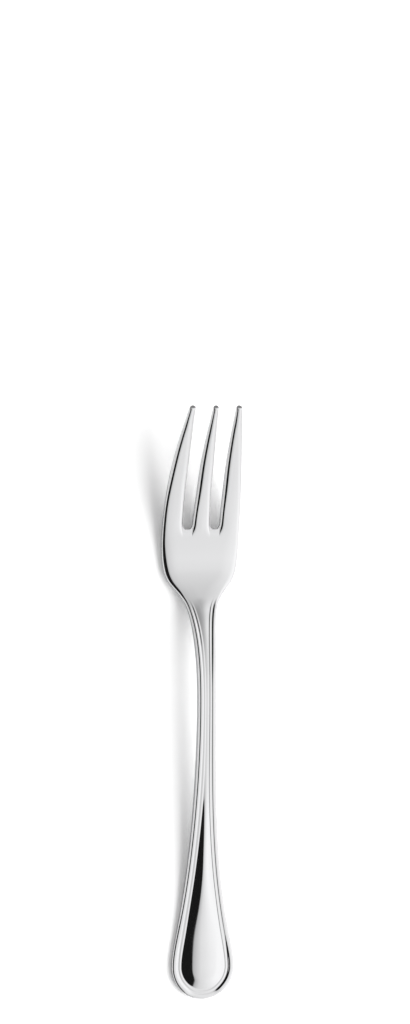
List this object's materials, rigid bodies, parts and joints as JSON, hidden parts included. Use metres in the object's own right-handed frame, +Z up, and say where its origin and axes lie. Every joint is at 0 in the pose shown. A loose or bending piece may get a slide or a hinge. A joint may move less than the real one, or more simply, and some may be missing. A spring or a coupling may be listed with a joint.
{
  "type": "pastry fork",
  "caption": "Small polished steel fork with a paddle-shaped bordered handle, a slim arched neck, and a curved slotted head with tapering tines, for eating cake and pastry.",
  "frame": {"origin": "under the middle of the fork's bounding box, on the surface that it lies on", "axes": "+Y along the fork towards the tine tips, +X to the right seen from above, +Z up out of the surface, with the front of the fork upwards"},
  "size_m": [0.0204, 0.15, 0.0169],
  "materials": {
    "polished_steel": "mirror polished stainless steel"
  },
  "bodies": {
    "root": {"handle": "polished_steel", "neck": "polished_steel", "palm": "polished_steel", "tine_left": "polished_steel", "tine_middle": "polished_steel", "tine_right": "polished_steel"}
  },
  "joints": []
}
